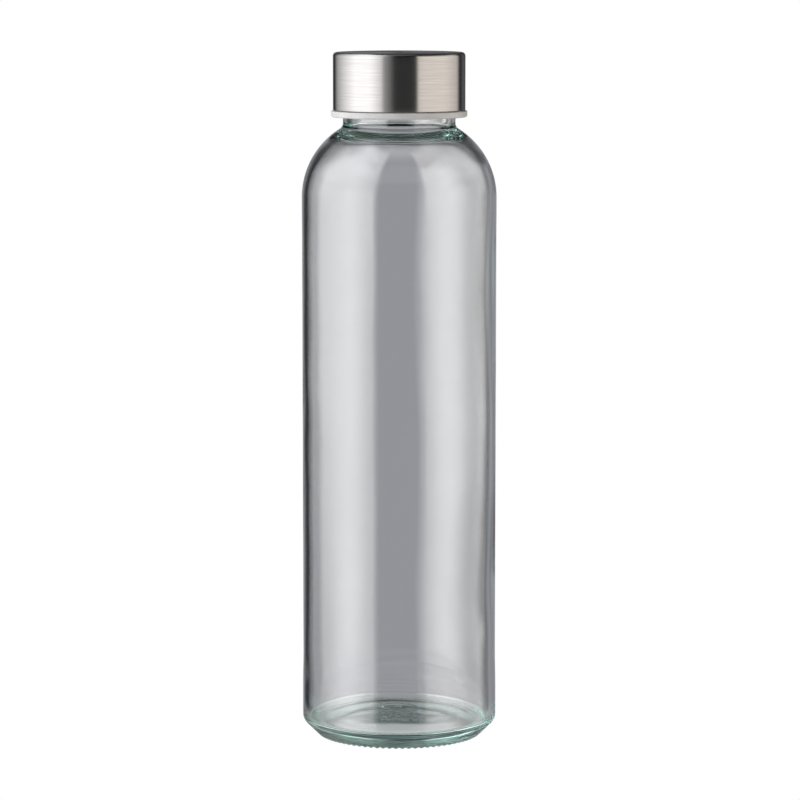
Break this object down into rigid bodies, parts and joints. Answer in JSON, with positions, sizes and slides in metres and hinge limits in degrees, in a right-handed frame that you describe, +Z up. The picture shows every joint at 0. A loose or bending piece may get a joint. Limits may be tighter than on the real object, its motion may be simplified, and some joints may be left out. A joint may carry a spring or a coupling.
{
  "type": "glass water bottle",
  "caption": "Slim cylindrical clear glass water bottle with a rounded shoulder, short threaded neck and a brushed steel screw lid over a pale plastic liner.",
  "frame": {"origin": "centre of the foot, on the bottle's axis, on the plane it stands on", "axes": "+Z up along the bottle's axis towards the lid; +X and +Y are free, because the bottle is round, and the glass thread starts on +X"},
  "size_m": [0.063, 0.063, 0.222],
  "materials": {
    "bottle_glass": "clear moulded soda-lime glass with a faint green tint, strongest in the thick base and at the edges",
    "brushed_stainless": "fine brushed grain running round the side and concentric on top, rounded bright edge",
    "natural_plastic": "uncoloured, slightly translucent moulded plastic",
    "clear_silicone": "translucent soft silicone"
  },
  "bodies": {
    "bottle": {"glass_bottle": "bottle_glass"},
    "seal": {"lid_gasket": "clear_silicone"},
    "lid": {"lid_liner": "natural_plastic", "lid_steel_shell": "brushed_stainless"}
  },
  "joints": [
    {"name": "lid_lift", "type": "slide", "parent": "bottle", "child": "seal", "axis": [0, 0, 1], "range_m": [0, 0.01802]},
    {"name": "lid_turn", "type": "hinge", "parent": "seal", "child": "lid", "pos_m": [0, 0, 0.218], "axis": [0, 0, 1], "range_deg": [0, 1530]}
  ],
  "couplings": [
    {"joint": "lid_lift", "follows": "lid_turn", "m_per_rad": 0.00067376}
  ]
}
